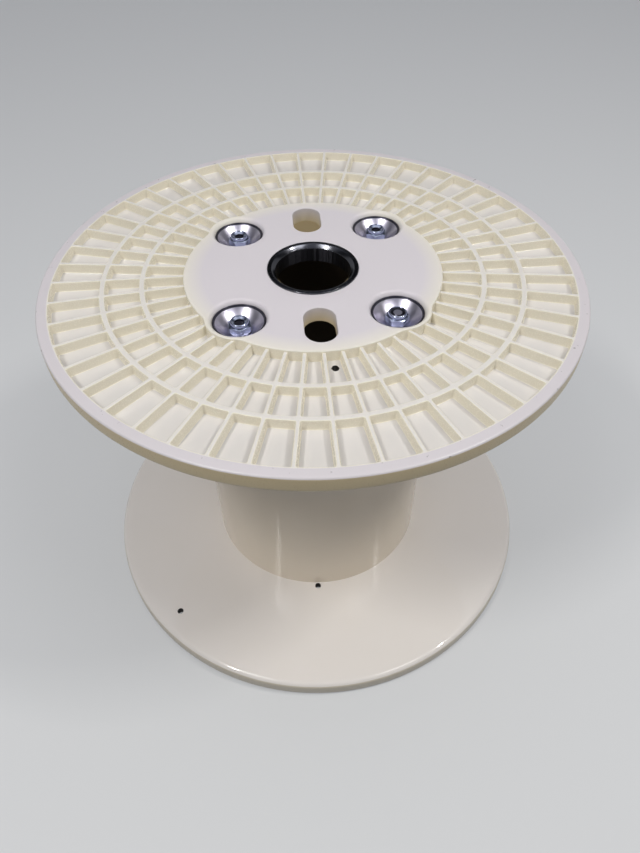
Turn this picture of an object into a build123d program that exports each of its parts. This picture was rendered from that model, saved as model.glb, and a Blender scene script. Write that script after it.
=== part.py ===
from build123d import *
import math
import os

# Two-flange cable drum in moulded plastic, standing on its end.
# Origin on the floor at the centre of the lower bush, Z up along the drum axis,
# the two drive slots of each flange lie on the Y axis. All sizes in mm.

# drum envelope
height_over_hubs = 375
flange_diameter = 500
barrel_diameter = 250
barrel_wall = 6

# flange moulding, heights counted inwards from the hub face
hub_step = 2
flange_depth = 18
hub_inset = 5
hub_thickness = 14.5
hub_edge_break = 1
rim_width = 10.5
rim_edge_break = 1.5
shoulder_round = 6
shoulder_steps = 2

# ribbed side: radial ribs crossing two ring ribs
rib_count = 48
rib_top_width = 3.2
ring_top_width = 4.8
inner_ring_radius = 160
outer_ring_radius = 195.5
pocket_depth = 9
draft_angle = 4

# drive slots through the hub
slot_width = 28
slot_length = 46.5
slot_edge_gap = 11.75

# tie rods, dished washers and nuts
bolt_count = 4
bolt_start_angle = 45
rod_diameter = 12
rod_hole_diameter = 13
rod_recess = 3
high_rod = 4
high_rod_lift = 2.2
cup_diameter = 46.5
cup_lip = 0.75
cup_floor_radius = 11.5
cup_drop = 3.5
cup_depth = 12
cup_sheet = 2
cup_seat_clearance = 0.3
lobe_wall = 3
boss_radius = 20
boss_height = 9.5
boss_gap = 1.5
nut_across_flats = 19
nut_height = 10
nut_bore_clearance = 0.05

# steel bush in the centre of each hub, a little proud of the hub face
bush_outer_radius = 42.6
bush_bore_radius = 35
bush_rise = 1
bush_mouth_width = 3.6
bush_mouth_depth = 3
bush_collar_width = 7.5
bush_collar_thickness = 1.5
bush_fit = 0.1

# rebate in the winding side that centres the barrel tube
barrel_fit = 0.3

# holes for the wire ends, the first close to the barrel, the second close to the rim
wire_hole_diameter = 7
start_hole_gap = 1
start_hole_pitch = 0.5
finish_hole_gap = 11
finish_hole_pitch = 6.5

os.makedirs("parts", exist_ok=True)

# derived sizes, levels of a flange are counted from its hub face
lower_hub_face = bush_rise
upper_hub_face = bush_rise + height_over_hubs
flange_radius = flange_diameter / 2
barrel_radius = barrel_diameter / 2
hub_radius = barrel_radius - hub_inset
slot_pitch_radius = hub_radius - slot_edge_gap - slot_length / 2
bolt_circle_radius = barrel_radius - barrel_wall - boss_gap - boss_radius
rib_plane = -hub_step
pocket_floor = rib_plane - pocket_depth
winding_face = rib_plane - flange_depth
hub_back = -hub_thickness
rib_pitch = 360 / rib_count
rim_inner_radius = flange_radius - rim_width
rebate_radius = barrel_radius + barrel_fit
start_hole_radius = barrel_radius + start_hole_gap + wire_hole_diameter / 2
finish_hole_radius = rim_inner_radius - finish_hole_gap - wire_hole_diameter / 2
cup_radius = cup_diameter / 2
cup_mouth_radius = cup_radius - cup_lip
cup_heel_radius = cup_floor_radius + cup_sheet
cup_underside = -cup_drop - cup_depth
cup_floor = cup_underside + cup_sheet
cup_flare = (cup_radius - cup_heel_radius) / cup_depth
seat_floor_radius = cup_heel_radius + cup_seat_clearance
seat_mouth_radius = seat_floor_radius - cup_flare * cup_underside
lobe_radius = seat_mouth_radius + lobe_wall
nut_top = cup_floor + nut_height
boss_end = hub_back - boss_height
bush_collar_radius = bush_outer_radius + bush_collar_width


def polar_point(radius, angle):
    return (radius * math.cos(math.radians(angle)), radius * math.sin(math.radians(angle)))


def bolt_spots():
    step = 360 / bolt_count
    return [
        (number, polar_point(bolt_circle_radius, bolt_start_angle + step * (number - 1)))
        for number in range(1, bolt_count + 1)
    ]


def beside_rib(radius, side):
    # corner of a pocket, half a rib width away from the middle line of the next rib
    half = rib_top_width / 2
    along = math.sqrt(radius**2 - half**2)
    turn = math.radians(side * rib_pitch / 2)
    across = -side * half
    x = along * math.cos(turn) - across * math.sin(turn)
    y = along * math.sin(turn) + across * math.cos(turn)
    return (x, y)


def pocket_tool(inner, outer):
    # one pocket between two ribs and two rings, its four walls drafted towards the floor
    with BuildPart() as tool:
        with BuildSketch(Plane.XY.offset(rib_plane)):
            with BuildLine():
                Polyline(
                    beside_rib(inner, -1),
                    beside_rib(outer, -1),
                    beside_rib(outer, 1),
                    beside_rib(inner, 1),
                    close=True,
                )
            make_face()
        extrude(amount=-pocket_depth)
        walls = tool.faces().sort_by(Axis.Z)[1:-1]
        draft(walls, Plane.XY.offset(rib_plane), -draft_angle)
    return tool.part


def rounded_slot(pitch_radius):
    with BuildPart() as tool:
        with BuildSketch(Plane.XY):
            with Locations((0, pitch_radius), (0, -pitch_radius)):
                SlotOverall(slot_length, slot_width, rotation=90)
        extrude(amount=-hub_thickness)
    return tool.part


def shoulder_spot(turn):
    # point on the quarter round between the rim and the winding face
    centre_radius = flange_radius - shoulder_round
    centre_level = winding_face + shoulder_round
    angle = math.radians(turn)
    return (
        centre_radius + shoulder_round * math.cos(angle),
        centre_level - shoulder_round * math.sin(angle),
    )


shoulder_points = [shoulder_spot(90 * step / shoulder_steps) for step in range(shoulder_steps + 1)]

# hub with a lobe round each dished washer and a boss behind it for the tie rod
with BuildPart() as hub:
    with BuildSketch(Plane.XY):
        Circle(hub_radius)
        for number, spot in bolt_spots():
            with Locations(spot):
                Circle(lobe_radius)
    extrude(amount=-hub_thickness)
    chamfer(hub.edges().group_by(Axis.Z)[-1], hub_edge_break)
    with BuildSketch(Plane.XY.offset(hub_back)):
        for number, spot in bolt_spots():
            with Locations(spot):
                Circle(boss_radius)
    extrude(amount=-boss_height)

# flange body without its wire holes, hub face on z = 0, winding side below
with BuildPart() as flange_blank:
    with BuildSketch(Plane.XZ):
        with BuildLine():
            Polyline(
                (0, rib_plane),
                (flange_radius - rim_edge_break, rib_plane),
                (flange_radius, rib_plane - rim_edge_break),
                *shoulder_points,
                (rebate_radius, winding_face),
                (rebate_radius, hub_back),
                (0, hub_back),
                close=True,
            )
        make_face()
    revolve(axis=Axis.Z)
    # three rings of pockets leave the radial ribs and the ring ribs standing
    for inner, outer in (
        (hub_radius, inner_ring_radius - ring_top_width),
        (inner_ring_radius, outer_ring_radius - ring_top_width),
        (outer_ring_radius, rim_inner_radius),
    ):
        pocket = pocket_tool(inner, outer)
        with PolarLocations(0, rib_count, start_angle=rib_pitch / 2):
            add(pocket, mode=Mode.SUBTRACT)
    add(hub.part)
    with BuildSketch(Plane.XY):
        Circle(bush_outer_radius + bush_fit)
    extrude(amount=-hub_thickness, mode=Mode.SUBTRACT)
    add(rounded_slot(slot_pitch_radius), mode=Mode.SUBTRACT)
    # conical seats and rod holes
    for number, spot in bolt_spots():
        with BuildSketch(Plane.XZ):
            with BuildLine():
                Polyline(
                    (0, 0),
                    (seat_mouth_radius, 0),
                    (seat_floor_radius, cup_underside),
                    (rod_hole_diameter / 2, cup_underside),
                    (rod_hole_diameter / 2, boss_end),
                    (0, boss_end),
                    close=True,
                )
            make_face()
        seat = revolve(axis=Axis.Z, mode=Mode.PRIVATE)
        with Locations((spot[0], spot[1], 0)):
            add(seat, mode=Mode.SUBTRACT)


def end_place(end, spot=(0, 0)):
    # place of what is drawn under a hub face at z = 0, for either end of the drum
    if end == "upper":
        return Location((spot[0], spot[1], upper_hub_face))
    return Location((spot[0], spot[1], lower_hub_face), (0, 180, 0))


def wire_hole(radius, pitches):
    # hole in the web of the pocket that lies so many rib pitches from the near slot
    spot = polar_point(radius, -90 + pitches * rib_pitch)
    with BuildPart() as tool:
        with BuildSketch(Plane.XY.offset(pocket_floor)):
            with Locations(spot):
                Circle(wire_hole_diameter / 2)
        extrude(amount=winding_face - pocket_floor)
    return tool.part


# upper flange: ribbed side up, one hole beside the barrel
with BuildPart() as upper_flange:
    with Locations(end_place("upper")):
        add(flange_blank.part)
        add(wire_hole(start_hole_radius, start_hole_pitch), mode=Mode.SUBTRACT)
upper_flange.part.label = "upper_flange"
export_step(upper_flange.part, "parts/upper_flange.step")

# lower flange: the same moulding turned over, with a second hole near the rim
with BuildPart() as lower_flange:
    with Locations(end_place("lower")):
        add(flange_blank.part)
        add(wire_hole(start_hole_radius, start_hole_pitch), mode=Mode.SUBTRACT)
        add(wire_hole(finish_hole_radius, finish_hole_pitch), mode=Mode.SUBTRACT)
lower_flange.part.label = "lower_flange"
export_step(lower_flange.part, "parts/lower_flange.step")

# barrel tube, its ends seated in the rebates of the two flanges
with BuildPart() as barrel:
    with BuildSketch(Plane.XY.offset(lower_hub_face + hub_thickness)):
        Circle(barrel_radius)
        Circle(barrel_radius - barrel_wall, mode=Mode.SUBTRACT)
    extrude(amount=height_over_hubs - 2 * hub_thickness)
barrel.part.label = "barrel"
export_step(barrel.part, "parts/barrel.step")

# steel bush with a collar that bears on the back of the hub
with BuildPart() as bush_blank:
    with BuildSketch(Plane.XZ):
        with BuildLine():
            Polyline(
                (bush_bore_radius + bush_mouth_width, bush_rise),
                (bush_outer_radius, bush_rise),
                (bush_outer_radius, hub_back),
                (bush_collar_radius, hub_back),
                (bush_collar_radius, hub_back - bush_collar_thickness),
                (bush_bore_radius, hub_back - bush_collar_thickness),
                (bush_bore_radius, bush_rise - bush_mouth_depth),
                close=True,
            )
        make_face()
    revolve(axis=Axis.Z)

for end in ("upper", "lower"):
    with BuildPart() as bush:
        with Locations(end_place(end)):
            add(bush_blank.part)
    bush.part.label = f"{end}_bush"
    export_step(bush.part, f"parts/{end}_bush.step")

# dished washer, its floor carries the nut
with BuildPart() as cup_blank:
    with BuildSketch(Plane.XZ):
        with BuildLine():
            Polyline(
                (cup_mouth_radius, -cup_drop),
                (cup_radius, -cup_drop),
                (cup_heel_radius, cup_underside),
                (rod_hole_diameter / 2, cup_underside),
                (rod_hole_diameter / 2, cup_floor),
                (cup_floor_radius, cup_floor),
                close=True,
            )
        make_face()
    revolve(axis=Axis.Z)

# hexagon nut
with BuildPart() as nut_blank:
    with BuildSketch(Plane.XY.offset(cup_floor)):
        RegularPolygon(nut_across_flats / 2, 6, major_radius=False)
        Circle(rod_diameter / 2 + nut_bore_clearance, mode=Mode.SUBTRACT)
    extrude(amount=nut_height)

for number, spot in bolt_spots():
    lift = high_rod_lift if number == high_rod else 0
    rod_top = upper_hub_face + nut_top - rod_recess + lift
    rod_bottom = lower_hub_face - nut_top + rod_recess + lift
    with BuildPart() as tie_rod:
        with BuildSketch(Plane.XY.offset(rod_bottom)):
            with Locations(spot):
                Circle(rod_diameter / 2)
        extrude(amount=rod_top - rod_bottom)
    tie_rod.part.label = f"tie_rod_{number}"
    export_step(tie_rod.part, f"parts/tie_rod_{number}.step")
    for end in ("upper", "lower"):
        with BuildPart() as cup_washer:
            with Locations(end_place(end, spot)):
                add(cup_blank.part)
        cup_washer.part.label = f"{end}_cup_washer_{number}"
        export_step(cup_washer.part, f"parts/{end}_cup_washer_{number}.step")
        with BuildPart() as nut:
            with Locations(end_place(end, spot)):
                add(nut_blank.part)
        nut.part.label = f"{end}_nut_{number}"
        export_step(nut.part, f"parts/{end}_nut_{number}.step")
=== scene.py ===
import math

import bmesh
import bpy
from mathutils import Matrix, Vector
from mathutils.geometry import delaunay_2d_cdt


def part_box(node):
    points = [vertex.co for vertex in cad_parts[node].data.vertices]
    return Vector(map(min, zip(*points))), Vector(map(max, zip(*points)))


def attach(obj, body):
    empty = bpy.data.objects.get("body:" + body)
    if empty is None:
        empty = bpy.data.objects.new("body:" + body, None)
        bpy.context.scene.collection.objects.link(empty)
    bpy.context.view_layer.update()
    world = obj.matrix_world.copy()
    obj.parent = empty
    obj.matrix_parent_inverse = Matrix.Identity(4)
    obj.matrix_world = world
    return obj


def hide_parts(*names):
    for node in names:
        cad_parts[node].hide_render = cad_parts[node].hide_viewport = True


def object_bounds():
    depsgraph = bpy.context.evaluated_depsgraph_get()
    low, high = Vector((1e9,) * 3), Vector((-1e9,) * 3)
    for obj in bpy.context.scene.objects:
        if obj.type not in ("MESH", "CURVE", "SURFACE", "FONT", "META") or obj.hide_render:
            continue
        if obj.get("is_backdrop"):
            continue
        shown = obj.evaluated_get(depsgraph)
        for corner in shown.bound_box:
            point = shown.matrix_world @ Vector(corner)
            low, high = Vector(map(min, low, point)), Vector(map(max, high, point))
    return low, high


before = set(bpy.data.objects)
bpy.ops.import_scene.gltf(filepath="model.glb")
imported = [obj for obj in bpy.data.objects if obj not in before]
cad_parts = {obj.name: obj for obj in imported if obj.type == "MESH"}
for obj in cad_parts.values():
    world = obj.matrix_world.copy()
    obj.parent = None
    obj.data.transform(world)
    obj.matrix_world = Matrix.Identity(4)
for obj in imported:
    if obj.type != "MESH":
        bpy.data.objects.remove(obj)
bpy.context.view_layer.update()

# Ivory plastic cable drum. The CAD part gives every place and outer size; this script gives
# the rounded edges, bowls, threads and finishes. Lengths are metres unless a name ends in Mm.
mm = 0.001

# Flange moulding, heights counted down from the hub face
hubFace = {"upper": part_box("upper_flange")[1].z, "lower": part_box("lower_flange")[0].z}
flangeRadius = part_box("upper_flange")[1].x
middleHeight = (hubFace["upper"] + hubFace["lower"]) / 2
faceReach = (hubFace["upper"] - hubFace["lower"]) / 2
flange = {
    "radius": flangeRadius,
    "ribPlane": -2 * mm,
    "windingFace": -20 * mm,
    "rimInner": flangeRadius - 10.5 * mm,
    "rimRound": 2 * mm,
    "shoulderRound": 6 * mm,
    "innerEnd": 119 * mm,
    "ribCount": 48,
    "ribWidth": 3.2 * mm,
    "ringWidth": 4.8 * mm,
    "rings": (120 * mm, 160 * mm, 195.5 * mm),
    "pocketDepth": 9 * mm,
    "draft": math.radians(4),
    "ribEdgeRound": 0.5 * mm,
    "pocketFillet": 1.1 * mm,
    "pocketCorner": 1.6 * mm,
    "hubTuck": 1 * mm,           # how far the innermost pockets' plane runs under the hub
    "rimTuck": 1.2 * mm,         # how far the outermost pockets' plane runs into the rim
    "windingRings": (234 * mm, 216 * mm, 138 * mm, 121.5 * mm),    # part the winding side at the wire holes
}

# Hub disc with its slots, dished seats and bush seat
hub = {
    "radius": 120 * mm,
    "lobe": 29.4 * mm,
    "lobeBlend": 3 * mm,
    "edgeRound": 1.1 * mm,
    "back": -14.5 * mm,
    "slotWidth": 28 * mm,
    "slotLength": 46.5 * mm,
    "slotPitch": 85 * mm,
    "slotRound": 0.8 * mm,
    "seatRadius": 23.75 * mm,
    "seatMouth": 28.25 * mm,
    "seatRound": 4 * mm,
    "seatTurn": 51,              # degrees that the rounded mouth of a seat turns through
    "seatFloor": -15.5 * mm,
    "seatDrop": -3.5 * mm,       # how far the washers' lips lie below the face
    "seatStep": 0.3 * mm,
    "seatSink": 0.4 * mm,
    "seatGuard": 1 * mm,         # the winding side below this height isn't pushed out of the seats
    "fadeStart": 102 * mm,       # where the cooler tone of the thick hub begins to warm towards its edge, painted light let through its side
    "slotFade": 14 * mm,         # depth over which the slot walls turn tan, a painted warm shade
    "bushSeat": 42.7 * mm,
    "bushRound": 0.5 * mm,
}

# Points in a full turn, except slotEnd, which is half a turn
segments = {"hubOutline": 480, "barrel": 320, "bush": 160, "bushSeat": 128, "cup": 96, "nut": 96, "rod": 40,
            "slotEnd": 24}


def linear(hexColour):
    # sRGB hex to the linear values that shader sockets take
    parts = [int(hexColour[i:i + 2], 16) / 255 for i in (1, 3, 5)]
    return tuple(c / 12.92 if c <= 0.04045 else ((c + 0.055) / 1.055) ** 2.4 for c in parts) + (1.0,)


def addNode(tree, kind, settings=None, inputs=None, links=None):
    # one node with its settings, socket values and incoming links
    node = tree.nodes.new(kind)
    for key, value in (settings or {}).items():
        setattr(node, key, value)
    for key, value in (inputs or {}).items():
        node.inputs[key].default_value = value
    for key, source in (links or {}).items():
        tree.links.new(source, node.inputs[key])
    return node


# Finishes

noiseLow, noiseHigh = 0.3, 0.7        # nearly all values of a noise texture lie between these
plasticIor = 1.54
quarterTurn = 0.25


def makePlastic(name, look):
    # moulded plastic: faint waviness and grain break up the reflections
    material = bpy.data.materials.new(name)
    material.use_nodes = True
    tree = material.node_tree
    shader = tree.nodes["Principled BSDF"]
    place = addNode(tree, "ShaderNodeTexCoord")
    wave = addNode(tree, "ShaderNodeTexNoise", inputs={"Scale": 1 / look["waveWidth"], "Detail": 2.0},
                   links={"Vector": place.outputs["Object"]})
    grain = addNode(tree, "ShaderNodeTexNoise", inputs={"Scale": 1 / look["grainWidth"], "Detail": 3.0},
                    links={"Vector": place.outputs["Object"]})
    tone = addNode(tree, "ShaderNodeMix", {"data_type": "RGBA"})
    tone.inputs["A"].default_value = linear(look["colour"])
    tone.inputs["B"].default_value = linear(look["shade"])
    tree.links.new(wave.outputs["Fac"], tone.inputs["Factor"])
    gloss = addNode(tree, "ShaderNodeMapRange", inputs={
        "From Min": noiseLow, "From Max": noiseHigh,
        "To Min": look["roughness"] - look["roughnessSpread"],
        "To Max": look["roughness"] + look["roughnessSpread"],
    }, links={"Value": grain.outputs["Fac"]})
    lowBump = addNode(tree, "ShaderNodeBump", links={"Height": wave.outputs["Fac"]},
                      inputs={"Strength": look["waveBump"], "Distance": look["waveHeight"]})
    bump = addNode(tree, "ShaderNodeBump",
                   links={"Height": grain.outputs["Fac"], "Normal": lowBump.outputs["Normal"]},
                   inputs={"Strength": look["grainBump"], "Distance": look["grainHeight"]})
    colour = tone
    if "marks" in look:
        # few small scuffs from handling
        scuff = addNode(tree, "ShaderNodeTexNoise", inputs={"Scale": 1 / look["markWidth"], "Detail": 5.0},
                        links={"Vector": place.outputs["Object"]})
        spread = addNode(tree, "ShaderNodeMapRange", inputs={
            "From Min": look["markStart"], "From Max": look["markStart"] + look["markBlend"],
            "To Max": look["markStrength"]}, links={"Value": scuff.outputs["Fac"]})
        colour = addNode(tree, "ShaderNodeMix", {"data_type": "RGBA"}, links={
            "Factor": spread.outputs["Result"], "A": tone.outputs["Result"]})
        colour.inputs["B"].default_value = linear(look["marks"])
    if "fadeColour" in look:
        # fadeColour gives way to the plain tone between two distances,
        # measured from the axis or from the drum's middle height: a painted light and shade gradient
        axes = addNode(tree, "ShaderNodeSeparateXYZ", links={0: place.outputs["Object"]})
        if look["fadeAlong"] == "height":
            fromMiddle = addNode(tree, "ShaderNodeMath", {"operation": "SUBTRACT"}, {1: middleHeight},
                                 {0: axes.outputs["Z"]})
            away = addNode(tree, "ShaderNodeMath", {"operation": "ABSOLUTE"},
                           links={0: fromMiddle.outputs["Value"]})
        else:
            level = addNode(tree, "ShaderNodeCombineXYZ",
                            links={"X": axes.outputs["X"], "Y": axes.outputs["Y"]})
            away = addNode(tree, "ShaderNodeVectorMath", {"operation": "LENGTH"},
                           links={0: level.outputs["Vector"]})
        fade = addNode(tree, "ShaderNodeMapRange", inputs={
            "From Min": look["fadeFrom"], "From Max": look["fadeTo"]}, links={"Value": away.outputs["Value"]})
        colour = addNode(tree, "ShaderNodeMix", {"data_type": "RGBA"}, links={
            "Factor": fade.outputs["Result"], "B": tone.outputs["Result"]})
        colour.inputs["A"].default_value = linear(look["fadeColour"])
    tree.links.new(colour.outputs["Result"], shader.inputs["Base Color"])
    tree.links.new(gloss.outputs["Result"], shader.inputs["Roughness"])
    tree.links.new(bump.outputs["Normal"], shader.inputs["Normal"])
    shader.inputs["IOR"].default_value = plasticIor
    # painted glow: emission in the plastic's own colour
    if "glow" in look:
        shader.inputs["Emission Color"].default_value = linear(look["colour"])
        shader.inputs["Emission Strength"].default_value = look["glow"]
    return material


def makeMetal(name, look):
    # metal with plating mottle or fine scoring in its roughness and height
    material = bpy.data.materials.new(name)
    material.use_nodes = True
    tree = material.node_tree
    shader = tree.nodes["Principled BSDF"]
    place = addNode(tree, "ShaderNodeTexCoord")
    stretch = addNode(tree, "ShaderNodeMapping", inputs={"Scale": (1.0, 1.0, look.get("stretch", 1.0))},
                      links={"Vector": place.outputs["Object"]})
    mottle = addNode(tree, "ShaderNodeTexNoise", inputs={"Scale": 1 / look["mottleWidth"], "Detail": 4.0},
                     links={"Vector": stretch.outputs["Vector"]})
    gloss = addNode(tree, "ShaderNodeMapRange", inputs={
        "From Min": noiseLow, "From Max": noiseHigh,
        "To Min": look["roughness"] - look["roughnessSpread"],
        "To Max": look["roughness"] + look["roughnessSpread"],
    }, links={"Value": mottle.outputs["Fac"]})
    bump = addNode(tree, "ShaderNodeBump", inputs={"Strength": look["bump"], "Distance": look["bumpHeight"]},
                   links={"Height": mottle.outputs["Fac"]})
    shader.inputs["Base Color"].default_value = linear(look["colour"])
    shader.inputs["Metallic"].default_value = look["metallic"]
    if "turned" in look:
        # tool marks run round the axis, so highlights stretch along the bore
        around = addNode(tree, "ShaderNodeTangent", {"direction_type": "RADIAL", "axis": "Z"})
        tree.links.new(around.outputs["Tangent"], shader.inputs["Tangent"])
        shader.inputs["Anisotropic"].default_value = look["turned"]
        shader.inputs["Anisotropic Rotation"].default_value = quarterTurn
    tree.links.new(gloss.outputs["Result"], shader.inputs["Roughness"])
    tree.links.new(bump.outputs["Normal"], shader.inputs["Normal"])
    return material


# Pattern widths: waves and scuffs have their real size. The grain of moulded plastic, near 0.1 mm,
# and the mottle of plated or turned steel, below 0.5 mm, are too fine to show and are drawn coarser.
ribLook = {
    "colour": "#F2ECDC", "shade": "#EFE8D4", "roughness": 0.26, "roughnessSpread": 0.04,
    "waveWidth": 45.5 * mm, "waveBump": 0.15, "waveHeight": 0.6 * mm,
    "grainWidth": 1.11 * mm, "grainBump": 0.015, "grainHeight": 0.1 * mm,
}
topLook = dict(ribLook, colour="#E8E4DE", shade="#E5E0D8", roughness=0.3)
floorLook = dict(ribLook, colour="#DDD9D6", shade="#DAD6D1", roughness=0.18)
rimLook = dict(ribLook, colour="#DAD4D8", shade="#D8D2D4", roughness=0.34,
               marks="#77716D", markWidth=6.67 * mm, markStart=0.67, markBlend=0.05, markStrength=0.7)
edgeLook = dict(ribLook, colour="#D6C5A0", shade="#D1BF98", roughness=0.3)
footEdgeLook = dict(edgeLook, colour="#DCD2C0", shade="#D8CEBB")
hubLook = dict(ribLook, colour="#ECE7DC", shade="#EAE4D8", roughness=0.42,
               fadeColour="#DDD7DB", fadeAlong="radius", fadeFrom=hub["fadeStart"], fadeTo=hub["radius"])
wallLook = dict(ribLook, colour="#DDD7DB", shade="#DBD5D8", roughness=0.42,
                fadeColour="#E8D9B8", fadeAlong="height",
                fadeFrom=faceReach - hub["slotFade"], fadeTo=faceReach)
windingLook = dict(ribLook, colour="#F2ECE7", shade="#F0EAE3", roughness=0.075, roughnessSpread=0.01,
                   waveBump=0.04)
barrelLook = dict(windingLook, colour="#F0E4D2", shade="#EEE1CD")
paintedShadeLook = dict(ribLook, colour="#1E1811", shade="#1A150F", roughness=0.5)
paintedGlowLook = dict(ribLook, colour="#E6D2A8", shade="#E0CA9C", roughness=0.5, glow=0.22)
nylonLook = dict(ribLook, colour="#34343F", shade="#2C2C36", roughness=0.35)
zincLook = {"colour": "#D2CEDC", "metallic": 1.0, "roughness": 0.31, "roughnessSpread": 0.02,
            "mottleWidth": 2.86 * mm, "bump": 0.01, "bumpHeight": 0.2 * mm}
paintedShadeZincLook = dict(zincLook, colour="#54535E", roughness=0.32, roughnessSpread=0.03)
nutLook = {"colour": "#B9C0D6", "metallic": 1.0, "roughness": 0.22, "roughnessSpread": 0.06,
           "mottleWidth": 2 * mm, "bump": 0.1, "bumpHeight": 0.2 * mm}
rodLook = dict(nutLook, colour="#B2AFBD", roughness=0.42)
bushLook = {"colour": "#47484D", "metallic": 1.0, "roughness": 0.24, "roughnessSpread": 0.05,
            "mottleWidth": 3.85 * mm, "bump": 0.05, "bumpHeight": 0.2 * mm, "turned": 0.9}
paintedHighlightLook = {"colour": "#606167", "metallic": 1.0, "roughness": 0.2, "roughnessSpread": 0.02,
               "mottleWidth": 3.85 * mm, "bump": 0.02, "bumpHeight": 0.2 * mm}
boreLook = {"colour": "#323237", "metallic": 1.0, "roughness": 0.42, "roughnessSpread": 0.02,
            "mottleWidth": 3.33 * mm, "bump": 1.0, "bumpHeight": 1 * mm, "turned": 1.0, "stretch": 0.01}

# The plastic is one ivory ABS, moulded or extruded; the tones of its parts are painted light and shade,
# standing in for the light that each catches or lets through
ribPlastic = makePlastic("ABS_moulded_rib", ribLook)                  # thin ribs, semi-gloss, warmest: painted light let through
topPlastic = makePlastic("ABS_moulded_rib_top", topLook)              # rib tops, whiter than their walls: painted highlight
floorPlastic = makePlastic("ABS_moulded_pocket_floor", floorLook)     # pocket floors, cooler, darker and glossier: painted shade
rimPlastic = makePlastic("ABS_moulded_satin_rim", rimLook)            # thick rim, cool, a few scuffs
edgePlastic = makePlastic("ABS_moulded_edge_painted_shade", edgeLook)           # outer edge, tan: painted warm shade
footEdgePlastic = makePlastic("ABS_moulded_foot_edge", footEdgeLook)  # lower outer edge, paler: a lighter painted shade
hubPlastic = makePlastic("ABS_moulded_satin_hub", hubLook)            # thick section, cool and flat; warmer towards its edge: painted light let through
wallPlastic = makePlastic("ABS_moulded_slot_wall", wallLook)          # slot walls, tan further in: painted warm shade
windingPlastic = makePlastic("ABS_moulded_polished", windingLook)     # mirror-smooth winding side
barrelPlastic = makePlastic("ABS_extruded_polished", barrelLook)      # as smooth, a shade warmer: painted warm bounce light
paintedShadePlastic = makePlastic("ABS_painted_shade_inside", paintedShadeLook)   # barrel's inside and the wire holes' walls, nearly black: painted shade
paintedGlowPlastic = makePlastic("ABS_extruded_lit_through", paintedGlowLook)       # barrel's inside near its ends: painted glow for daylight let through the wall
nylonRing = makePlastic("nylon_moulded_ring", nylonLook)              # ring in the nut's mouth, near black
zincPlate = makeMetal("steel_pressed_bright_zinc", zincLook)          # washer's bowl, soft highlights
paintedShadeZinc = makeMetal("steel_zinc_painted_shade_edge", paintedShadeZincLook)                # rolled lip and the rods' chamfers, darkened: painted shade
nutPlate = makeMetal("steel_forged_blue_zinc", nutLook)               # bluish, sharper highlights
rodPlate = makeMetal("steel_rolled_dull_zinc", rodLook)               # end of the rod that stands high
rodPaintedShade = makeMetal("steel_rolled_zinc_painted_shade", dict(rodLook, colour="#4C4B54"))     # rods deep in their nuts, darkened: painted shade
blackSteel = makeMetal("steel_turned_black_oxide", bushLook)          # bush, streaked highlights
highlightSteel = makeMetal("steel_turned_painted_highlight_edge", paintedHighlightLook)        # chamfer and edges, lighter than the face: painted highlight
boreSteel = makeMetal("steel_turned_bore", boreLook)                  # bore wall, darker than the face as painted shade, upright streaks
print("finishes made")


# Mesh building

def newShape():
    return {"points": [], "faces": [], "groups": []}


def addLoop(shape, points):
    start = len(shape["points"])
    shape["points"].extend(points)
    return list(range(start, start + len(points)))


def bridge(shape, first, second, group=0, closed=True):
    count = len(first)
    for i in range(count if closed else count - 1):
        j = (i + 1) % count
        shape["faces"].append((first[i], first[j], second[j], second[i]))
        shape["groups"].append(group)


def cap(shape, loop, group=0):
    shape["faces"].append(tuple(loop))
    shape["groups"].append(group)


def circle(radius, height, count, centre=(0.0, 0.0)):
    turn = 2 * math.pi / count
    return [(centre[0] + radius * math.cos(i * turn), centre[1] + radius * math.sin(i * turn), height)
            for i in range(count)]


def lathe(shape, profile, count, centre=(0.0, 0.0), group=0, closed=False):
    # profile of (radius, height) turned round a vertical axis
    loops = [addLoop(shape, circle(radius, height, count, centre)) for radius, height in profile]
    for first, second in zip(loops, loops[1:]):
        bridge(shape, first, second, group)
    if closed:
        bridge(shape, loops[-1], loops[0], group)
    return loops


def paintBands(shape, bands, count, group):
    # another material group for some bands of a lathed shape, count faces a band
    for band in bands:
        shape["groups"][band * count:(band + 1) * count] = [group] * count


def arc(centreR, centreZ, radius, start, end, steps):
    # points of an arc in a profile, angles in degrees from outwards
    angles = [math.radians(start + (end - start) * i / steps) for i in range(steps + 1)]
    return [(centreR + radius * math.cos(a), centreZ + radius * math.sin(a)) for a in angles]


weldDistance = 0.002 * mm
tiny = 1e-9        # metres, closer lengths count as equal


def makeObject(name, shape, materials, smoothAngle=35.0, end=None):
    # shapes of an end are drawn under a hub face at height 0, the lower end is turned over
    points = shape["points"]
    if end == "upper":
        points = [(x, y, hubFace["upper"] + z) for x, y, z in points]
    elif end == "lower":
        points = [(-x, y, hubFace["lower"] - z) for x, y, z in points]
    mesh = bpy.data.meshes.new(name)
    mesh.from_pydata(points, [], shape["faces"])
    for material in materials:
        mesh.materials.append(material)
    mesh.polygons.foreach_set("material_index", shape["groups"])
    work = bmesh.new()
    work.from_mesh(mesh)
    bmesh.ops.remove_doubles(work, verts=work.verts, dist=weldDistance)
    bmesh.ops.recalc_face_normals(work, faces=work.faces)
    work.to_mesh(mesh)
    work.free()
    mesh.shade_smooth()
    mesh.set_sharp_from_angle(angle=math.radians(smoothAngle))
    thing = bpy.data.objects.new(name, mesh)
    bpy.context.scene.collection.objects.link(thing)
    return thing


# Flange: 144 pockets from one cell rule, a lathed rim and winding side, a hub disc

wireHole = {"radius": 3.5 * mm, "startRing": 129.5 * mm, "finishRing": 225 * mm}

arcSteps, cornerSteps, sideSteps = 6, 4, 4        # points along the sides and corners of a pocket
ribPitch = 2 * math.pi / flange["ribCount"]
hubGroups, wireHoleGroup = 6, 9        # material groups 6 to 8 of the moulding are the hub's


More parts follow.
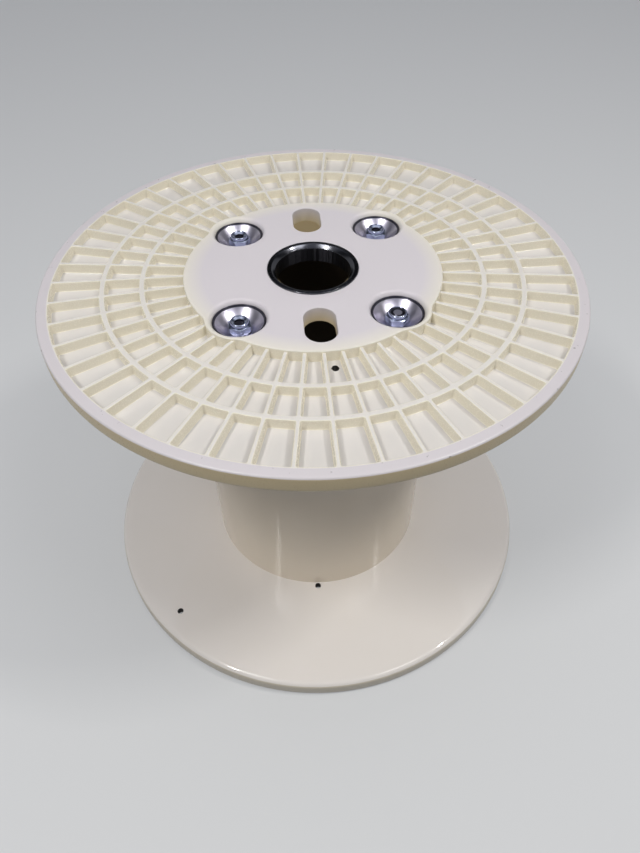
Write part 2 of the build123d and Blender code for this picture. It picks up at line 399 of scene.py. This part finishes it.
def cellOutline(ring, inset, corner):
    # rounded pocket outline in polar form, moved inwards from the pocket's edge by inset
    inner, outer = ring[0] + inset, ring[1] - inset
    half = flange["ribWidth"] / 2 + inset

    def halfWidth(radius):
        return radius * (ribPitch / 2 - math.asin(half / radius))

    def spot(radius, across):
        return (radius, across / radius)

    result = []
    outerStop, innerStop = outer - corner, inner + corner
    edge = halfWidth(outer) - corner
    for i in range(arcSteps):
        result.append(spot(outer, -edge + 2 * edge * i / arcSteps))
    for i in range(cornerSteps):
        a = math.pi / 2 * i / cornerSteps
        radius = outerStop + corner * math.cos(a)
        result.append(spot(radius, halfWidth(radius) - corner + corner * math.sin(a)))
    for i in range(sideSteps):
        radius = outerStop + (innerStop - outerStop) * i / sideSteps
        result.append(spot(radius, halfWidth(radius)))
    for i in range(cornerSteps):
        a = math.pi / 2 * i / cornerSteps
        radius = innerStop - corner * math.sin(a)
        result.append(spot(radius, halfWidth(radius) - corner + corner * math.cos(a)))
    edge = halfWidth(inner) - corner
    for i in range(arcSteps):
        result.append(spot(inner, edge - 2 * edge * i / arcSteps))
    for i in range(cornerSteps):
        a = math.pi / 2 * i / cornerSteps
        radius = innerStop - corner * math.cos(a)
        result.append(spot(radius, -halfWidth(radius) + corner - corner * math.sin(a)))
    for i in range(sideSteps):
        radius = innerStop + (outerStop - innerStop) * i / sideSteps
        result.append(spot(radius, -halfWidth(radius)))
    for i in range(cornerSteps):
        a = math.pi / 2 * i / cornerSteps
        radius = outerStop + corner * math.sin(a)
        result.append(spot(radius, -halfWidth(radius) + corner - corner * math.cos(a)))
    return result


def cellBoundary(inner, outer):
    # the same points spread along the middle lines of the ribs round the pocket
    half = ribPitch / 2
    near = 0.8                                    # share of an edge between two corners
    result = []
    for i in range(arcSteps):
        result.append((outer, half * near * (2 * i / arcSteps - 1)))
    for end in (0, 1):
        radiusA, radiusB = (outer, inner) if end == 0 else (inner, outer)
        sign = 1 if end == 0 else -1
        span = (radiusB - radiusA) * (1 - near) / 2
        for i in range(cornerSteps):
            share = 2 * i / cornerSteps
            if share <= 1:
                result.append((radiusA, sign * half * (near + (1 - near) * share)))
            else:
                result.append((radiusA + span * (share - 1), sign * half))
        for i in range(sideSteps):
            result.append((radiusA + span + (radiusB - radiusA - 2 * span) * i / sideSteps, sign * half))
        for i in range(cornerSteps):
            share = 2 * i / cornerSteps
            if share < 1:
                result.append((radiusB - span * (1 - share), sign * half))
            else:
                result.append((radiusB, sign * half * (1 - (1 - near) * (share - 1))))
        if end == 0:
            for i in range(arcSteps):
                result.append((inner, half * near * (1 - 2 * i / arcSteps)))
    return result


def placed(outline, middle, height):
    return [(r * math.cos(middle + a), r * math.sin(middle + a), height) for r, a in outline]


def holeLoop(outline, middle, ringRadius, height):
    # points of a wire hole matched by direction to the outline's points
    centre = (ringRadius * math.cos(middle), ringRadius * math.sin(middle))
    result = []
    for x, y, _ in placed(outline, middle, height):
        away = math.atan2(y - centre[1], x - centre[0])
        result.append((centre[0] + wireHole["radius"] * math.cos(away),
                       centre[1] + wireHole["radius"] * math.sin(away), height))
    return result


def nearHole(middle, ring, holes):
    for radius, angle in holes:
        turned = (middle - angle + math.pi) % (2 * math.pi) - math.pi
        if abs(turned) < ribPitch / 4 and ring[0] < radius < ring[1]:
            return radius
    return None


def pocketProfile():
    # (inset, height, corner) from the rib's top edge to the flat pocket floor
    e, f, depth = flange["ribEdgeRound"], flange["pocketFillet"], flange["pocketDepth"]
    slope = math.tan(flange["draft"])
    corner = flange["pocketCorner"]
    steps = [(-e * (1 - math.sin(math.pi / 2 * i / 3)), -e * (1 - math.cos(math.pi / 2 * i / 3)), corner)
             for i in range(4)]
    foot = (depth - f) * slope
    steps.append((foot / 2, -(depth - f) / 2 - e / 2, corner))
    steps += [(foot + f * (1 - math.cos(math.pi / 2 * i / 3)),
               -(depth - f) - f * math.sin(math.pi / 2 * i / 3), corner) for i in range(4)]
    return steps


def outOfSeats(points, spots):
    # points inside a dished seat move out into the wall of its lobe
    wall = (hub["seatMouth"] + hub["lobe"]) / 2
    result = []
    for x, y, z in points:
        for cx, cy in spots:
            away = math.hypot(x - cx, y - cy)
            if away < wall and z > flange["windingFace"] + hub["seatGuard"]:
                x, y = cx + (x - cx) * wall / away, cy + (y - cy) * wall / away
        result.append((x, y, z))
    return result


def flangeShape(holes, spots):
    # groups: 0 rib walls, 1 rim, 2 winding side, 3 outer edge, 4 pocket floors, 5 rib tops
    shape = newShape()
    plane, under = flange["ribPlane"], flange["windingFace"]
    inner = [flange["innerEnd"] - flange["hubTuck"]]
    inner += [r - flange["ringWidth"] / 2 for r in flange["rings"][1:]]
    outer = inner[1:] + [flange["rimInner"] + flange["rimTuck"]]
    pocketIn = (flange["innerEnd"], flange["rings"][1], flange["rings"][2])
    pocketOut = (flange["rings"][1] - flange["ringWidth"], flange["rings"][2] - flange["ringWidth"],
                 flange["rimInner"])
    profile = pocketProfile()
    for k in range(flange["ribCount"]):
        middle = (k + 0.5) * ribPitch
        for cellIn, cellOut, ring in zip(inner, outer, zip(pocketIn, pocketOut)):
            last = addLoop(shape, placed(cellBoundary(cellIn, cellOut), middle, plane))
            for step, (inset, height, corner) in enumerate(profile):
                outline = cellOutline(ring, inset, corner)
                loop = addLoop(shape, placed(outline, middle, plane + height))
                bridge(shape, last, loop, 4 if step == len(profile) - 1 else (5 if step == 0 else 0))
                last = loop
            hole = nearHole(middle, ring, holes)
            if hole is None:
                cap(shape, last, 4)
            else:
                mouth = addLoop(shape, holeLoop(outline, middle, hole, plane + height))
                bridge(shape, last, mouth, 4)
                bottom = addLoop(shape, holeLoop(outline, middle, hole, under))
                # wire holes' walls get the near-black painted shade
                bridge(shape, mouth, bottom, wireHoleGroup)
    rimAngles = [a for k in range(flange["ribCount"]) for r, a in
                 [(r, a + (k + 0.5) * ribPitch) for r, a in cellBoundary(inner[2], outer[2])
                  if abs(r - outer[2]) < tiny]]
    rimAngles = sorted(set(round(a % (2 * math.pi), 7) for a in rimAngles))
    radius, rim, shoulder = flange["radius"], flange["rimRound"], flange["shoulderRound"]
    turned = [(outer[2], plane)]
    turned += arc(radius - rim, plane - rim, rim, 90, 0, 5)
    turned += arc(radius - shoulder, under + shoulder, shoulder, 0, -90, 12)
    cells = (radius - shoulder,) + flange["windingRings"] + (inner[0],)
    turned += [(r, under) for r in cells[1:]]
    turned.append((inner[0], plane))
    loops = [addLoop(shape, [(r * math.cos(a), r * math.sin(a), z) for a in rimAngles]) for r, z in turned]
    turns = len(rimAngles)
    for level, (first, second) in enumerate(zip(loops, loops[1:])):
        (ra, za), (rb, zb) = turned[level], turned[level + 1]
        group = 2 if za < under + 0.6 * shoulder else (1 if za > plane - 0.6 * rim else 3)
        flat = abs(za - under) < tiny and abs(zb - under) < tiny
        for i in range(turns):
            j = (i + 1) % turns
            here = (rimAngles[i] + ((rimAngles[j] - rimAngles[i]) % (2 * math.pi)) / 2) % (2 * math.pi)
            middle = (math.floor(here / ribPitch) + 0.5) * ribPitch
            if flat and nearHole(middle, (rb, ra), holes) is not None:
                continue
            shape["faces"].append((first[i], first[j], second[j], second[i]))
            shape["groups"].append(group)
    for radiusA, radiusB in zip(cells, cells[1:]):
        for holeRadius, angle in holes:
            if radiusB < holeRadius < radiusA:
                edge = cellBoundary(radiusB, radiusA)
                outline = cellOutline((radiusB, radiusA), 0.0, flange["pocketCorner"])
                first = addLoop(shape, placed(edge, angle, under))
                second = addLoop(shape, holeLoop(outline, angle, holeRadius, under))
                bridge(shape, first, second, 2)
    shape["points"] = outOfSeats(shape["points"], spots)
    return shape


def slotOutline(side, grow, height):
    # slot with round ends, grown outwards by grow
    half = hub["slotWidth"] / 2 + grow
    reach = (hub["slotLength"] - hub["slotWidth"]) / 2
    count = segments["slotEnd"]
    result = []
    for start, shift in ((0.0, reach), (math.pi, -reach)):
        for i in range(count):
            a = start + math.pi * i / (count - 1)
            result.append((half * math.cos(a), side * hub["slotPitch"] + shift + half * math.sin(a), height))
    return result


def flatWithHoles(shape, outline, holes, height, group):
    # flat face inside an outline and outside its holes
    points = [Vector((x, y)) for x, y, _ in outline]
    edges = [(i, (i + 1) % len(points)) for i in range(len(points))]
    for hole in holes:
        start = len(points)
        points += [Vector((x, y)) for x, y, _ in hole]
        edges += [(start + i, start + (i + 1) % len(hole)) for i in range(len(hole))]
    flat, _, faces, _, _, _ = delaunay_2d_cdt(points, edges, [], 0, 1e-7)
    indexes = addLoop(shape, [(p.x, p.y, height) for p in flat])
    for face in faces:
        centre = sum((flat[i] for i in face), Vector((0, 0))) / len(face)
        if any(inside(centre, hole) for hole in holes) or not inside(centre, outline):
            continue
        shape["faces"].append(tuple(indexes[i] for i in face))
        shape["groups"].append(group)


def inside(point, outline):
    hit = False
    count = len(outline)
    for i in range(count):
        x1, y1 = outline[i][:2]
        x2, y2 = outline[(i + 1) % count][:2]
        if (y1 > point.y) != (y2 > point.y) and point.x < (x2 - x1) * (point.y - y1) / (y2 - y1) + x1:
            hit = not hit
    return hit


def sweptDown(shape, makeOutline, profile, group):
    # the same outline repeated along a profile of (growth, height)
    last = None
    for grow, height in profile:
        loop = addLoop(shape, makeOutline(grow, height))
        if last is not None:
            bridge(shape, last, loop, group)
        last = loop
    return last


def mouthProfile(radius, bottom):
    # rounded edge of a hole in a flat face, then its straight wall, as (growth, height)
    rounding = arc(radius, -radius, radius, 90, 180, 5)
    return rounding + [(0.0, bottom)]


def hubOutline(spots, inset, height):
    # circle of the hub and its lobes round the washers, blended where they meet
    result = []
    for i in range(segments["hubOutline"]):
        a = 2 * math.pi * i / segments["hubOutline"]
        reach = hub["radius"] - inset
        for x, y in spots:
            away = math.hypot(x, y)
            turned = a - math.atan2(y, x)
            offset = away * math.sin(turned)
            if math.cos(turned) > 0 and abs(offset) < hub["lobe"] - inset:
                other = away * math.cos(turned) + math.sqrt((hub["lobe"] - inset) ** 2 - offset ** 2)
                close = max(hub["lobeBlend"] - abs(reach - other), 0.0) / hub["lobeBlend"]
                reach = max(reach, other) + close * close * hub["lobeBlend"] / 4
        result.append((reach * math.cos(a), reach * math.sin(a), height))
    return result


def hubShape(spots):
    # groups: 0 face, seats and back, 1 slot walls, 2 side
    shape = newShape()
    face = []
    back = []
    rounding, bottom = hub["slotRound"], hub["back"]
    for side in (-1, 1):
        face.append(slotOutline(side, rounding, 0.0))
        back.append(slotOutline(side, 0.0, bottom))
        sweptDown(shape, lambda grow, z: slotOutline(side, grow, z), mouthProfile(rounding, bottom), 1)
    count = segments["cup"]
    for x, y in spots:
        face.append(circle(hub["seatMouth"], 0.0, count, (x, y)))
        profile = arc(hub["seatMouth"], -hub["seatRound"], hub["seatRound"], 90, 90 + hub["seatTurn"], 8)
        profile += [(hub["seatRadius"] + hub["seatStep"], hub["seatDrop"] + hub["seatStep"]),
                    (hub["seatRadius"], hub["seatDrop"] - hub["seatSink"]),
                    (hub["seatRadius"], hub["seatFloor"])]
        cap(shape, sweptDown(shape, lambda radius, z: circle(radius, z, count, (x, y)), profile, 0))
    bore, turns = hub["bushSeat"], segments["bushSeat"]
    face.append(circle(bore + hub["bushRound"], 0.0, turns))
    back.append(circle(bore, bottom, turns))
    sweptDown(shape, lambda grow, z: circle(bore + grow, z, turns), mouthProfile(hub["bushRound"], bottom), 0)
    flatWithHoles(shape, hubOutline(spots, hub["edgeRound"], 0.0), face, 0.0, 0)
    outside = [(hub["edgeRound"] - out, height) for out, height in
               arc(0.0, -hub["edgeRound"], hub["edgeRound"], 90, 0, 5)] + [(0.0, bottom)]
    sweptDown(shape, lambda inset, z: hubOutline(spots, inset, z), outside[:5], 0)
    sweptDown(shape, lambda inset, z: hubOutline(spots, inset, z), outside[4:], 2)
    flatWithHoles(shape, hubOutline(spots, 0.0, bottom), back, bottom, 0)
    return shape


def joined(shapes):
    # several shapes in one, the groups of each moved on by its shift
    whole = newShape()
    for shape, shift in shapes:
        start = len(whole["points"])
        whole["points"] += shape["points"]
        whole["faces"] += [tuple(start + i for i in face) for face in shape["faces"]]
        whole["groups"] += [group + shift for group in shape["groups"]]
    return whole


def centreOf(node):
    low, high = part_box(node)
    return ((low.x + high.x) / 2, (low.y + high.y) / 2)


def dress(piece, node):
    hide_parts(node)
    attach(piece, "root")


cupSpots = [centreOf(f"upper_cup_washer_{n}") for n in range(1, 5)]
startHole = (wireHole["startRing"], -math.pi / 2 + 0.5 * ribPitch)
finishHole = (wireHole["finishRing"], -math.pi / 2 + 6.5 * ribPitch)
hubPart = hubShape(cupSpots)
for end, holes in (("upper", [startHole]), ("lower", [startHole, finishHole])):
    whole = joined([(flangeShape(holes, cupSpots), 0), (hubPart, hubGroups)])
    outerEdge = edgePlastic if end == "upper" else footEdgePlastic
    piece = makeObject(f"{end}_flange_moulding", whole,
                       [ribPlastic, rimPlastic, windingPlastic, outerEdge, floorPlastic, topPlastic,
                        hubPlastic, wallPlastic, ribPlastic, paintedShadePlastic], end=end)
    dress(piece, f"{end}_flange")
print("flanges made")

# Barrel: a polished tube between the two winding faces
barrelSize = {"radius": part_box("barrel")[1].x, "wall": 6 * mm, "paintedGlowEnd": 46 * mm}

barrelLow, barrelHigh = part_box("barrel")
tube = newShape()
tubeOuter = barrelSize["radius"]
tubeInner = tubeOuter - barrelSize["wall"]
# bands at the ends of the tube's inside that get the painted glow
paintedGlowUpper, paintedGlowLower = barrelHigh.z - barrelSize["paintedGlowEnd"], barrelLow.z + barrelSize["paintedGlowEnd"]
# the tube's inside is painted near-black shade in the middle
for group, profile in (
        (0, [(tubeInner, barrelLow.z), (tubeOuter, barrelLow.z),
             (tubeOuter, barrelHigh.z), (tubeInner, barrelHigh.z)]),
        (1, [(tubeInner, paintedGlowUpper), (tubeInner, paintedGlowLower)]),
        (2, [(tubeInner, barrelHigh.z), (tubeInner, paintedGlowUpper)]),
        (2, [(tubeInner, paintedGlowLower), (tubeInner, barrelLow.z)])):
    lathe(tube, profile, segments["barrel"], group=group)
dress(makeObject("barrel_tube", tube, [barrelPlastic, paintedShadePlastic, paintedGlowPlastic]), "barrel")
print("barrel made")


# Bushes: turned steel, a flat outer ring, a chamfer and the bore
bush = {
    "outer": 42.6 * mm,
    "bore": 35 * mm,
    "face": 1 * mm,
    "mouthWidth": 3.6 * mm,
    "mouthDepth": 3 * mm,
    "collar": 50 * mm,
    "collarBack": -16 * mm,
    "edgeRound": 0.5 * mm,
}


def bushProfile():
    e = bush["edgeRound"]
    mouth = bush["bore"] + bush["mouthWidth"]
    foot = bush["face"] - bush["mouthDepth"]
    profile = [(bush["bore"], bush["collarBack"]), (bush["bore"], foot - e),
               (bush["bore"] + 0.15 * e, foot - 0.4 * e), (bush["bore"] + 0.6 * e, foot + 0.2 * e),
               (mouth - 0.6 * e, bush["face"] - 0.6 * e), (mouth, bush["face"] - 0.1 * e),
               (mouth + e, bush["face"])]
    profile += arc(bush["outer"] - e, bush["face"] - e, e, 90, 0, 4)
    profile += [(bush["outer"], hub["back"]), (bush["collar"], hub["back"]),
                (bush["collar"], bush["collarBack"])]
    return profile


boreBands, chamferBands, edgeBands = range(1), range(1, 6), range(7, 11)
for end in ("upper", "lower"):
    ring = newShape()
    lathe(ring, bushProfile(), segments["bush"], closed=True)
    paintBands(ring, boreBands, segments["bush"], 1)
    paintBands(ring, chamferBands, segments["bush"], 2)
    paintBands(ring, edgeBands, segments["bush"], 2)
    piece = makeObject(f"{end}_bush_turned", ring, [blackSteel, boreSteel, highlightSteel], end=end)
    dress(piece, f"{end}_bush")
print("bushes made")


# Dished washers: a pressed bowl with a rolled lip
cup = {
    "radius": 23.25 * mm,
    "mouth": 22.4 * mm,
    "floorRadius": 11 * mm,
    "drop": hub["seatDrop"],
    "floor": -13.5 * mm,
    "underside": -15.5 * mm,
    "lipRound": 0.45 * mm,
    "sheet": 1.2 * mm,
    "hole": 6.5 * mm,
    "slopeSpread": math.radians(9),
}


def bowlCurve(mouth, mouthHeight, floorRadius, floorHeight, steps):
    # arc from the floor's edge to the mouth that ends well short of upright
    rise = mouthHeight - floorHeight
    run = mouth - floorRadius
    middleSlope = math.atan2(rise, run)
    first, last = middleSlope - cup["slopeSpread"], middleSlope + cup["slopeSpread"]
    radius = run / (math.sin(last) - math.sin(first))
    slopes = [first + (last - first) * i / steps for i in range(steps + 1)]
    return [(floorRadius + radius * (math.sin(a) - math.sin(first)),
             floorHeight + radius * (math.cos(first) - math.cos(a))) for a in slopes]


bowlSteps, lipSteps, undersideSteps = 18, 6, 12
paintedShadeBands = range(bowlSteps - 1, bowlSteps + lipSteps + 1)        # the bowl's last two bands and the lip, painted shade


def cupProfile():
    lip = cup["lipRound"]
    mouthHeight = cup["drop"] - lip
    width = cup["radius"] - cup["mouth"]
    bowl = bowlCurve(cup["mouth"], mouthHeight, cup["floorRadius"], cup["floor"], bowlSteps)
    turns = [math.pi * i / lipSteps for i in range(1, lipSteps)]
    rolled = [(cup["mouth"] + width * (1 - math.cos(a)) / 2, mouthHeight + lip * math.sin(a)) for a in turns]
    under = bowlCurve(cup["radius"], mouthHeight, cup["floorRadius"] + cup["sheet"], cup["underside"],
                      undersideSteps)
    return [(cup["hole"], cup["floor"])] + bowl + rolled + under[::-1] + [(cup["hole"], cup["underside"])]


# Lock nuts: hexagon cut by its chamfer cones, a round crown with a cone-shaped mouth
nut = {
    "acrossFlats": 19 * mm,
    "height": 10 * mm,
    "hexHeight": 6.8 * mm,
    "crown": 8.2 * mm,
    "crownRound": 1.0 * mm,
    "cornerBreak": 0.25 * mm,
    "mouthOuter": 6.7 * mm,
    "mouthInner": 4.5 * mm,
    "mouthDrop": 0.8 * mm,
    "mouthDepth": 1.2 * mm,
    "mouthRound": 0.5 * mm,
    "ringHeight": 2.1 * mm,
    "highRodGap": 1.5 * mm,      # a rod that ends closer than this to the top of its nut fills the mouth
    "bore": 6.05 * mm,
    "chamferAngle": math.radians(30),
    "faceInset": 0.35 * mm,
}


def nutShape(centre, twist, rodThrough):
    # groups: 0 plated steel, 1 dark ring inside the mouth
    shape = newShape()
    flats = nut["acrossFlats"] / 2
    corner = flats / math.cos(math.pi / 6)
    faceRadius = flats - nut["faceInset"]
    count = segments["nut"]
    base = cup["floor"]

    def edgeRadius(angle):
        inFlat = (angle - twist) % (math.pi / 3) - math.pi / 6
        return flats / math.cos(inFlat)

    angles = [2 * math.pi * i / count for i in range(count)]

    def around(radii, heights):
        return [(centre[0] + r * math.cos(a), centre[1] + r * math.sin(a), h)
                for a, r, h in zip(angles, radii, heights)]

    drop = [math.tan(nut["chamferAngle"]) * max(0.0, edgeRadius(a) - faceRadius) for a in angles]
    edge = [min(edgeRadius(a), corner - nut["cornerBreak"]) for a in angles]
    shoulder = base + nut["hexHeight"]
    top = base + nut["height"]
    inner = nut["bore"] if rodThrough else nut["mouthInner"]
    mouthTop = top - nut["mouthDrop"]
    foot = mouthTop - nut["ringHeight"]
    crown = [(nut["bore"], foot), (inner, foot), (inner, mouthTop - nut["mouthDepth"]),
             (nut["mouthOuter"], mouthTop)]
    e = nut["mouthRound"]
    crown += arc(nut["mouthOuter"] + e, top - e, e, 180, 90, 3)
    crown += arc(nut["crown"] - nut["crownRound"], top - nut["crownRound"], nut["crownRound"], 90, 0, 4)
    crown.append((nut["crown"], shoulder))
    loops = [addLoop(shape, around([r] * count, [z] * count)) for r, z in crown]
    loops += [
        addLoop(shape, around([faceRadius] * count, [shoulder] * count)),
        addLoop(shape, around(edge, [shoulder - d for d in drop])),
        addLoop(shape, around(edge, [base + d for d in drop])),
        addLoop(shape, around([faceRadius] * count, [base] * count)),
        addLoop(shape, around([nut["bore"]] * count, [base] * count)),
    ]
    darkBands = 3 if rodThrough else 2
    for number, (first, second) in enumerate(zip(loops, loops[1:] + loops[:1])):
        bridge(shape, first, second, 1 if number < darkBands else 0)
    return shape


# Tie rods: plain shank, cut threads and a wide chamfer at both ends
rod = {
    "radius": 6 * mm,
    "pitch": 1.75 * mm,
    "threadDepth": 0.75 * mm,
    "threadRun": 14 * mm,
    "endBreak": 2.2 * mm,
    "endCentre": 0.5 * mm,
}


def threadProfile(end, inwards):
    # from the middle of an end face to the last crest of its thread; inwards is 1 upwards, -1 downwards
    pitch, depth, radius = rod["pitch"], rod["threadDepth"], rod["radius"]
    profile = [(rod["endCentre"], end), (radius - rod["endBreak"], end)]
    done = rod["endBreak"]
    while done < rod["threadRun"]:
        profile += [(radius, end + inwards * done), (radius - depth, end + inwards * (done + pitch / 2))]
        done += pitch
    return profile + [(radius, end + inwards * done)]


def rodShape(centre, low, high):
    # groups: 0 steel, 1 the chamfers, darkened as painted shade
    shape = newShape()
    profile = threadProfile(low, 1) + threadProfile(high, -1)[::-1]
    loops = lathe(shape, profile, segments["rod"], centre)
    paintBands(shape, (1, len(profile) - 3), segments["rod"], 1)
    cap(shape, loops[0])
    cap(shape, loops[-1])
    return shape


nutTwists = {1: 0.35, 2: 0.1, 3: 0.6, 4: 0.9}        # radians, each nut stopped where it was tight
crispAngle = 25.0        # degrees, keeps flats and threads sharp
for number in range(1, 5):
    low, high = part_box(f"tie_rod_{number}")
    standsHigh = high.z > hubFace["upper"] + cup["floor"] + nut["height"] - nut["highRodGap"]
    for end in ("upper", "lower"):
        spot = centreOf(f"{end}_cup_washer_{number}")
        local = spot if end == "upper" else (-spot[0], spot[1])
        bowl = newShape()
        lathe(bowl, cupProfile(), segments["cup"], local, closed=True)
        paintBands(bowl, paintedShadeBands, segments["cup"], 1)
        piece = makeObject(f"{end}_cup_{number}", bowl, [zincPlate, paintedShadeZinc], end=end)
        dress(piece, f"{end}_cup_washer_{number}")
        through = end == "upper" and standsHigh
        hexagon = makeObject(f"{end}_lock_nut_{number}", nutShape(local, nutTwists[number], through),
                             [nutPlate, nylonRing], smoothAngle=crispAngle, end=end)
        dress(hexagon, f"{end}_nut_{number}")
    shank = makeObject(f"threaded_rod_{number}", rodShape(centreOf(f"tie_rod_{number}"), low.z, high.z),
                       [rodPlate if standsHigh else rodPaintedShade, paintedShadeZinc], smoothAngle=crispAngle)
    dress(shank, f"tie_rod_{number}")
print("hardware made")

# Floor, light and camera

drumMiddle = (0.0, 0.0, 0.2)

paper = {"half": 12.0, "roughness": 0.85, "colour": "#B5B6B7", "glow": 0.38, "glowColour": "#C9CACB",
         "givenBack": "#636362"}         # darker tone that the drum gets back from the floor

softLamps = {
    "soft_left": {"place": (-0.9, -0.85, 2.6), "size": (0.5, 0.5), "power": 5.8, "colour": "#FFFFFF"},
    "soft_right": {"place": (0.9, -0.75, 2.6), "size": (0.7, 0.6), "power": 6.8, "colour": "#FFFFFF"},
    "ceiling_soft": {"place": (0.0, 0.5, 2.6), "size": (2.4, 1.4), "power": 4.5, "colour": "#FFFFFF"},
}

# narrow tubes give the upright streaks on the barrel
tubeLamps = {
    "tube_left": {"start": (-1.2, -1.15, 2.2), "stop": (-1.0, -0.5, 2.2), "width": 0.016, "power": 17.5,
                  "colour": "#FFFDF8"},
    "tube_right": {"start": (1.4, -0.58, 2.2), "stop": (1.14, -0.16, 2.2), "width": 0.016, "power": 15.5,
                   "colour": "#FFFDF8"},
}

# sky tones by height of view, 0 at the horizon and 1 overhead; the dark band gives the bowls contrast
skyStrength = 0.76
skyTones = ((0.42, "#B4B5B7"), (0.48, "#26282E"), (0.62, "#2A2C32"), (0.8, "#A0A4B0"), (0.95, "#A9ADB8"))


def areaLight(name, place, target, size, power, colour):
    lamp = bpy.data.lights.new(name, "AREA")
    lamp.shape = "RECTANGLE"
    lamp.size, lamp.size_y = size
    lamp.energy = power
    lamp.color = linear(colour)[:3]
    thing = bpy.data.objects.new(name, lamp)
    thing.location = place
    thing.rotation_euler = (Vector(target) - Vector(place)).to_track_quat("-Z", "Y").to_euler()
    bpy.context.scene.collection.objects.link(thing)
    return thing


def tubeLight(name, start, stop, target, width, power, colour):
    # long narrow lamp between two points, facing the target
    start, stop = Vector(start), Vector(stop)
    thing = areaLight(name, (start + stop) / 2, target, (width, (stop - start).length), power, colour)
    along = (stop - start).normalized()
    back = thing.location - Vector(target)
    back = (back - along * back.dot(along)).normalized()
    across = along.cross(back)
    thing.rotation_euler = Matrix((across, along, back)).transposed().to_euler()


floorMesh = bpy.data.meshes.new("studio_floor")
half = paper["half"]
corners = [(-half, -half, 0), (half, -half, 0), (half, half, 0), (-half, half, 0)]
floorMesh.from_pydata(corners, [], [(0, 1, 2, 3)])
floorObject = bpy.data.objects.new("studio_floor", floorMesh)
bpy.context.scene.collection.objects.link(floorObject)
floorMaterial = bpy.data.materials.new("paper_pale_grey")
floorMaterial.use_nodes = True
tree = floorMaterial.node_tree
shader = tree.nodes["Principled BSDF"]
shader.inputs["Roughness"].default_value = paper["roughness"]
shader.inputs["Emission Color"].default_value = linear(paper["glowColour"])
paths = addNode(tree, "ShaderNodeLightPath")
mirrored = addNode(tree, "ShaderNodeMath", {"operation": "MAXIMUM"}, links={
    0: paths.outputs["Is Transmission Ray"], 1: paths.outputs["Is Glossy Ray"]})
seen = addNode(tree, "ShaderNodeMath", {"operation": "MAXIMUM"}, links={
    0: paths.outputs["Is Camera Ray"], 1: mirrored.outputs["Value"]})
tone = addNode(tree, "ShaderNodeMix", {"data_type": "RGBA"}, links={"Factor": seen.outputs["Value"]})
tone.inputs["A"].default_value = linear(paper["givenBack"])
tone.inputs["B"].default_value = linear(paper["colour"])
glow = addNode(tree, "ShaderNodeMath", {"operation": "MULTIPLY"}, {1: paper["glow"]},
               {0: seen.outputs["Value"]})
tree.links.new(tone.outputs["Result"], shader.inputs["Base Color"])
tree.links.new(glow.outputs["Value"], shader.inputs["Emission Strength"])
floorMesh.materials.append(floorMaterial)
floorObject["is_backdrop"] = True

for name, lamp in softLamps.items():
    areaLight(name, lamp["place"], drumMiddle, lamp["size"], lamp["power"], lamp["colour"])
for name, lamp in tubeLamps.items():
    tubeLight(name, lamp["start"], lamp["stop"], drumMiddle, lamp["width"], lamp["power"], lamp["colour"])

world = bpy.data.worlds.new("studio_world")
bpy.context.scene.world = world
world.use_nodes = True
tree = world.node_tree
direction = addNode(tree, "ShaderNodeTexCoord")
heights = addNode(tree, "ShaderNodeSeparateXYZ", links={0: direction.outputs["Generated"]})
sky = addNode(tree, "ShaderNodeValToRGB", links={"Fac": heights.outputs["Z"]})
ramp = sky.color_ramp.elements
for place, (height, colour) in zip((ramp[0], ramp[1]), (skyTones[0], skyTones[-1])):
    place.position, place.color = height, linear(colour)
for height, colour in skyTones[1:-1]:
    ramp.new(height).color = linear(colour)
tree.links.new(sky.outputs["Color"], tree.nodes["Background"].inputs["Color"])
tree.nodes["Background"].inputs["Strength"].default_value = skyStrength
print("floor and light made")

# Camera fitted to the circles of the photo, which is 640 by 853 pixels
photoHeight = 853
focalPixels = 673.85
sensorMm = 36.0
ribTurn = 360 / flange["ribCount"] / 2        # degrees, by which the drum stands turned in the photo
pitch, yaw, roll = math.radians(46.97), math.radians(0.56 + ribTurn), math.radians(-0.52)
cameraPlace = Vector((-0.0351, -0.5354, 0.7333))
forward = Vector((math.sin(yaw) * math.cos(pitch), math.cos(yaw) * math.cos(pitch), -math.sin(pitch)))
right = Vector((math.cos(yaw), -math.sin(yaw), 0.0))
up = right.cross(forward)
rolledRight = right * math.cos(roll) + up * math.sin(roll)
rolledUp = up * math.cos(roll) - right * math.sin(roll)
cameraData = bpy.data.cameras.new("photo_camera")
cameraData.sensor_fit = "AUTO"
cameraData.sensor_width = sensorMm
cameraData.lens = focalPixels * sensorMm / photoHeight
cameraData.clip_start = 10 * mm
camera = bpy.data.objects.new("photo_camera", cameraData)
bpy.context.scene.collection.objects.link(camera)
camera.matrix_world = Matrix((
    (rolledRight.x, rolledUp.x, -forward.x, cameraPlace.x),
    (rolledRight.y, rolledUp.y, -forward.y, cameraPlace.y),
    (rolledRight.z, rolledUp.z, -forward.z, cameraPlace.z),
    (0, 0, 0, 1),
))
bpy.context.scene.camera = camera
bpy.context.scene.view_settings.view_transform = "Standard"
print("camera placed")

low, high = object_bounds()
